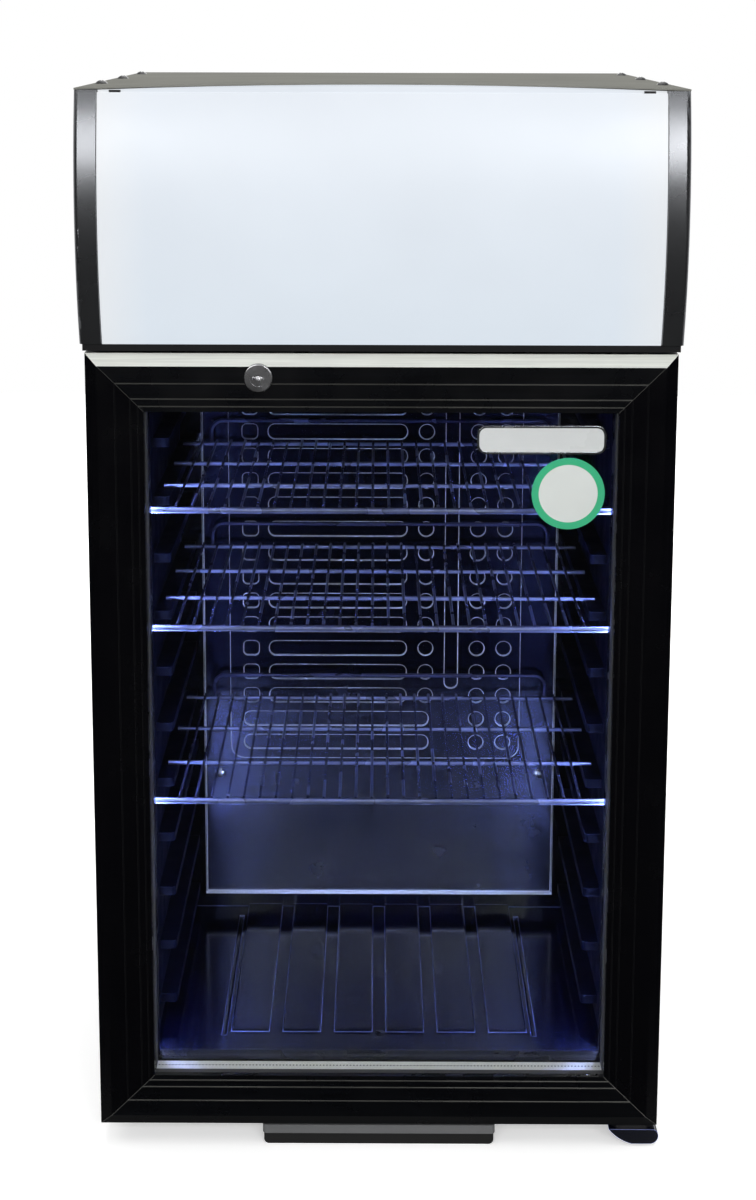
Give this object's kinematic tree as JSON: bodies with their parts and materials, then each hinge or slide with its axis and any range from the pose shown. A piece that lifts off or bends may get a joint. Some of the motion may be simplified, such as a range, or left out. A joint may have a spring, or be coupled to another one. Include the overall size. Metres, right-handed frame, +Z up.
{
  "type": "glass door merchandiser",
  "caption": "Counter-top display cooler with a hinged double-glazed door, lit curved sign canopy, wire shelves, static evaporator and rear compressor.",
  "frame": {"origin": "on the floor, under the middle of the object's overall width and depth", "axes": "+Z up, the door faces -Y, the door's hinge is on the +X side"},
  "size_m": [0.436, 0.48, 0.816],
  "materials": {
    "black_steel": "satin black powder coat",
    "grey_cover": "satin grey",
    "black_liner": "gloss black moulding",
    "black_plastic": "satin black moulding",
    "foam": "rigid foam",
    "galvanised": "galvanised",
    "opal": "opal diffuser",
    "light_strip": "opal light strip",
    "black_aluminium": "black anodised",
    "bright_trim": "satin",
    "clear_glass": "clear float",
    "spacer_metal": "perforated, matte",
    "black_rubber": "matte",
    "chrome": "bright",
    "evaporator_metal": "lacquered dark",
    "shelf_wire": "gloss coated wire",
    "white_sheet": "white",
    "board": "white circuit board",
    "white_plastic": "white moulding",
    "compressor_black": "gloss black enamel",
    "copper": "drawn copper",
    "nylon": "natural"
  },
  "bodies": {
    "cabinet": {"side_panel_left": "black_steel", "side_panel_right": "black_steel", "cabinet_top_panel": "galvanised", "base_pan": "galvanised", "rear_sheet": "galvanised", "front_frame_strips": "black_plastic", "insulation_foam": "foam", "liner_wall_left": "black_liner", "liner_wall_right": "black_liner", "liner_back_wall": "black_liner", "liner_ceiling": "black_liner", "liner_floor": "black_liner", "drain_line": "black_plastic", "interior_lights": "light_strip", "evaporator_plate": "evaporator_metal", "evaporator_standoffs": "nylon", "evaporator_screws": "chrome", "thermostat_housing": "black_plastic", "lock_strike": "galvanised", "hinge_plates": "black_steel", "hinge_pins": "galvanised", "hinge_screws": "black_steel", "lower_hinge_cover": "black_liner", "front_support_bar": "black_plastic", "rubber_feet": "black_rubber", "canopy_tray": "black_steel", "canopy_end_caps": "black_plastic", "canopy_face": "opal", "canopy_top_cover": "grey_cover", "cover_fixings": "black_steel", "canopy_back_panel": "black_steel", "switch_housing": "black_plastic", "light_reflector": "white_sheet", "canopy_light_boards": "board", "light_driver": "white_plastic", "compressor_shell": "compressor_black", "compressor_mount": "galvanised", "relay_cover": "black_plastic", "condenser": "compressor_black", "cooling_tubes": "copper", "evaporation_pan": "white_plastic", "cord_gland": "black_rubber"},
    "door": {"door_top_rail": "black_aluminium", "door_bottom_rail": "black_aluminium", "door_stiles": "black_aluminium", "door_top_trim": "bright_trim", "door_corner_keys": "nylon", "outer_pane": "clear_glass", "inner_pane": "clear_glass", "glass_spacer": "spacer_metal", "door_gasket": "black_rubber", "lock_barrel": "chrome", "hinge_bushes": "nylon"},
    "lock": {"lock_plug": "chrome", "lock_cam": "galvanised"},
    "top_shelf": {"shelf_top": "shelf_wire"},
    "middle_shelf": {"shelf_middle": "shelf_wire"},
    "bottom_shelf": {"shelf_bottom": "shelf_wire"},
    "knob": {"thermostat_knob": "black_plastic"},
    "rocker": {"switch_rocker": "black_plastic"}
  },
  "joints": [
    {"name": "door_swing", "type": "hinge", "parent": "cabinet", "child": "door", "pos_m": [0.203, -0.206, 0.32], "axis": [0, 0, 1], "range_deg": [0, 110]},
    {"name": "lock_turn", "type": "hinge", "parent": "door", "child": "lock", "pos_m": [-0.089, -0.206, 0.6046], "axis": [0, -1, 0], "range_deg": [0, 90]},
    {"name": "thermostat_turn", "type": "hinge", "parent": "cabinet", "child": "knob", "pos_m": [0.12, 0.02, 0.574], "axis": [0, -1, 0], "range_deg": [0, 270]},
    {"name": "switch_rock", "type": "hinge", "parent": "cabinet", "child": "rocker", "pos_m": [0.15, 0.197, 0.679], "axis": [1, 0, 0], "range_deg": [0, 12]},
    {"name": "top_shelf_slide", "type": "slide", "parent": "cabinet", "child": "top_shelf", "axis": [0, -1, 0], "range_m": [0, 0.012]},
    {"name": "middle_shelf_slide", "type": "slide", "parent": "cabinet", "child": "middle_shelf", "axis": [0, -1, 0], "range_m": [0, 0.012]},
    {"name": "bottom_shelf_slide", "type": "slide", "parent": "cabinet", "child": "bottom_shelf", "axis": [0, -1, 0], "range_m": [0, 0.012]}
  ]
}
